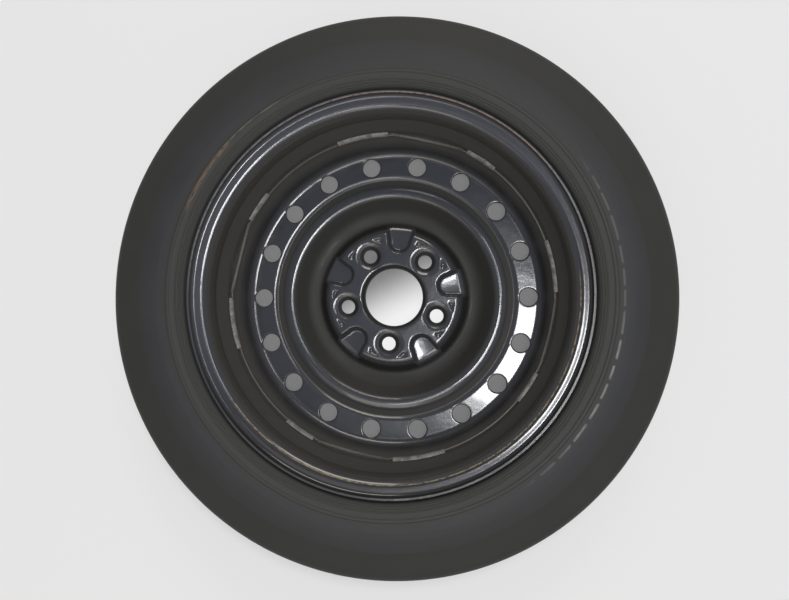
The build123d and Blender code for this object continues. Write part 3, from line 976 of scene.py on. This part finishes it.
def side_points():
    """The tyre's side from its shoulder to its bead, and back up inside; each point with its bend radius."""
    _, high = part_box("tyre")
    crest = high.z / MM
    heel_z = rim_width / 2 - bead_clearance
    flange_r = bead_seat_r + flange_height
    rib_edge = rib_half + rib_foot
    side = [
        ((tread_edge_r, tread_half_width), shoulder_r),
        ((279.0, 57.6), 1.2),
        ((276.6, 58.6), 2.0),
        ((262.0, 62.6), 30.0),
        ((254.0, tyre_half_width - 0.1), 20.0),
        ((rib_r + rib_edge, tyre_half_width), 0.5),
        ((rib_r + rib_half, crest), 0.5),
        ((rib_r - rib_half, crest), 0.5),
        ((rib_r - rib_edge, tyre_half_width - 0.1), 0.5),
    ]
    fine_edge = fine_rib_half + fine_rib_foot
    for middle, level in fine_ribs:
        side += [
            ((middle + fine_edge, level), 0.25),
            ((middle + fine_rib_half, level + fine_rib_height), 0.25),
            ((middle - fine_rib_half, level + fine_rib_height), 0.25),
            ((middle - fine_edge, level - 0.1), 0.25),
        ]
    side += [
        ((flange_r + 4.6, 61.2), 0.9),
        ((flange_r + 3.2, 59.6), 1.2),
        ((flange_r + 1.6, 55.6), 1.8),
        ((flange_r - 1.6, 51.0), 1.8),
        ((212.3, heel_z), 1.0),
        ((bead_seat_r + bead_clearance, heel_z), 8.0),
        ((bead_seat_r - 1.34, heel_z - 16.5), 0.8),
        ((bead_seat_r + 7.66, heel_z - 16.5), 0.8),
        ((229.0, 50.5), 10.0),
        ((254.0, 55.0), 30.0),
        ((294.7, 37.0), 6.0),
        ((301.6, 28.0), 6.0),
    ]
    return side


def tyre_section():
    """The tyre's closed section, with rounded steps, ribs and tread grooves."""
    tread = tread_points()
    side = side_points()
    points = [(tyre_r, 0.0)] + tread + [point for point, _ in side] + [(tread_inner_r, 0.0)]
    bends = [0.35] * len(tread) + [bend for _, bend in side]
    upper = lined(rounded(points, bends, 9.0, 0.4), 6.0)
    lower = upper[1:-1][::-1] * (1, -1)
    section = np.concatenate([upper, lower])
    section[:, 0] = np.minimum(section[:, 0], tyre_r)
    return section


def make_tyre():
    return smoothed(turned_piece("spare_tyre", tyre_section(), 280, rubber), 60)


settle(make_tyre(), "tyre")
settle(make_rim(), "rim")
settle(make_disc(), "wheel_disc", paint)
settle(make_welds(), "weld_beads")

# The valve keeps its solids and gets its finishes
for finish, names in (
    (valve_rubber(), ("valve_body", "core_seal", "pin_seal")),
    (brass(), ("valve_stem", "valve_core", "valve_pin")),
    (spring_steel(), ("pin_spring",)),
    (cap_plastic(), ("valve_cap",)),
):
    for name in names:
        cad_nodes[name].data.materials.clear()
        cad_nodes[name].data.materials.append(finish)


# Floor, light and camera

def floor_finish():
    """A pale floor, clear from below; under the wheel, seen through its holes, it glows with a painted shade,
    greyer there, with a painted pool of light lightest in the middle and towards the lower right.
    """
    made = Finish("studio_floor")
    spot, x, y, _, radius, _ = made.place()
    grain = made.noise(spot, 0.9, 4.0, 0.75)
    # painted shade under the wheel: a camera-seen grey glow, with a painted pool of light in the middle that
    # brightens towards the lower right
    below = 1 - radius.rise(205.0, 285.0)
    middle = 1 - radius.rise(78.0, 120.0)
    slope = (y - 0.5 * x).rise(-32.0, 44.0)
    through = 0.175 + middle * (0.735 - 0.725 * slope) + (grain - 0.5) * 0.12
    tone = made.mix(below, grey(0.83), made.mix(through.clamp(), grey(0.0), grey(1.0)))
    shade = made.node("ShaderNodeBsdfDiffuse", None, {"Color": grey(0.80)})
    glow = made.node("ShaderNodeEmission", None, {"Color": tone, "Strength": 1.0})
    kinds = ("Camera", "Glossy", "Transmission")
    rays = [made.node("ShaderNodeLightPath", output=f"Is {kind} Ray") for kind in kinds]
    seen = (rays[0] + rays[1] + rays[2]).clamp()
    outside = ((x + 14) * (x + 14) + (y + 14) * (y + 14)) ** 0.5
    factor = seen * (below * 0.92 + outside.rise(329.0, 354.0) * 0.62)
    top = made.node("ShaderNodeMixShader", None, {0: factor, 1: shade, 2: glow})
    under = made.node("ShaderNodeNewGeometry", output="Backfacing")
    clear = made.node("ShaderNodeBsdfTransparent")
    made.output(made.node("ShaderNodeMixShader", None, {0: under, 1: top, 2: clear}))
    return made.material


def make_floor():
    low, _ = cad_box
    reach, drop = 6.0, low.z - 0.0002
    corners = [(-reach, -reach, drop), (reach, -reach, drop), (reach, reach, drop), (-reach, reach, drop)]
    floor = mesh_object("studio_floor", corners, [(0, 1, 2, 3)])
    floor.data.materials.append(floor_finish())


def softbox(name, place, size, power, colour, turn=None):
    """An area lamp aimed at the wheel; one with a turn hangs level, its sides turned that many degrees."""
    lamp = bpy.data.lights.new(name, "AREA")
    lamp.shape = "RECTANGLE"
    lamp.size, lamp.size_y = size
    lamp.energy = power
    lamp.color = colour
    made = bpy.data.objects.new(name, lamp)
    made.location = place
    if turn is None:
        made.rotation_euler = (-Vector(place)).to_track_quat("-Z", "Y").to_euler()
    else:
        made.rotation_euler = (0.0, 0.0, math.radians(turn))
    scene.collection.objects.link(made)


def make_world():
    """A dim room: cool overhead, warmer and lighter low down."""
    world = bpy.data.worlds.new("studio")
    world.use_nodes = True
    scene.world = world
    tree = world.node_tree
    background = tree.nodes["Background"]
    spot = add(tree, "ShaderNodeTexCoord")
    split = add(tree, "ShaderNodeSeparateXYZ", None, {0: spot.outputs["Generated"]})
    blend = add(tree, "ShaderNodeMapRange", None, {
        "Value": split.outputs["Z"], "From Min": 0.15, "From Max": 0.95})
    tint = add(tree, "ShaderNodeMix", {"data_type": "RGBA"}, {
        0: blend.outputs[0], 6: (0.285, 0.272, 0.228, 1), 7: (0.190, 0.204, 0.264, 1)})
    tree.links.new(tint.outputs[2], background.inputs["Color"])
    background.inputs["Strength"].default_value = 1.0


def make_lamps():
    """A long window overhead with softer glows round it, a warm room lamp and a fill from the far side."""
    for name, place, size, power, turn in (
        ("window_light", (0.76, -0.33, 5.95), (0.8, 1.15), 62.0, -28.0),
        ("window_upper", (1.75, -0.93, 5.95), (0.85, 1.9), 60.0, -28.0),
        ("window_right", (1.94, 1.00, 5.95), (0.8, 1.6), 24.0, 17.0),
        ("window_left", (0.19, -2.15, 5.95), (0.8, 1.6), 24.0, -75.0),
    ):
        softbox(name, place, size, power, (0.98, 0.98, 1.0), turn)
    softbox("window_glow", (0.68, -0.35, 5.93), (0.9, 1.7), 11.5, (0.97, 0.98, 1.0), -28.0)
    softbox("window_halo", (0.42, -0.24, 5.90), (1.5, 2.4), 8.0, (0.97, 0.98, 1.0), -30.0)
    softbox("warm_overhead", (-0.28, -1.15, 1.75), (0.9, 0.6), 2.6, (1.0, 0.93, 0.80))
    softbox("warm_spread", (-0.28, -1.17, 1.78), (1.9, 1.4), 5.0, (1.0, 0.93, 0.80))
    softbox("far_fill", (0.37, 2.2, 2.1), (1.5, 0.9), 23.0, (1.0, 0.94, 0.84))


def make_camera():
    """The photograph's view: from above the wheel, a little off its axle."""
    lens = bpy.data.cameras.new("camera")
    lens.sensor_width = 36.0
    lens.lens = focal_pixels / photo_width * lens.sensor_width
    lens.clip_start = 0.01
    made = bpy.data.objects.new("camera", lens)
    turn, lean = math.radians(camera_turn), math.radians(camera_lean)
    right = Vector((math.cos(turn), 0, math.sin(turn)))
    back = Vector((-math.cos(lean) * math.sin(turn), -math.sin(lean), math.cos(lean) * math.cos(turn)))
    up = back.cross(right)
    facing = Matrix((right, up, back)).transposed().to_4x4()
    made.matrix_world = Matrix.Translation(camera_place) @ facing
    scene.collection.objects.link(made)
    scene.camera = made


make_floor()
make_world()
make_lamps()
make_camera()

scene.view_settings.view_transform = "Standard"
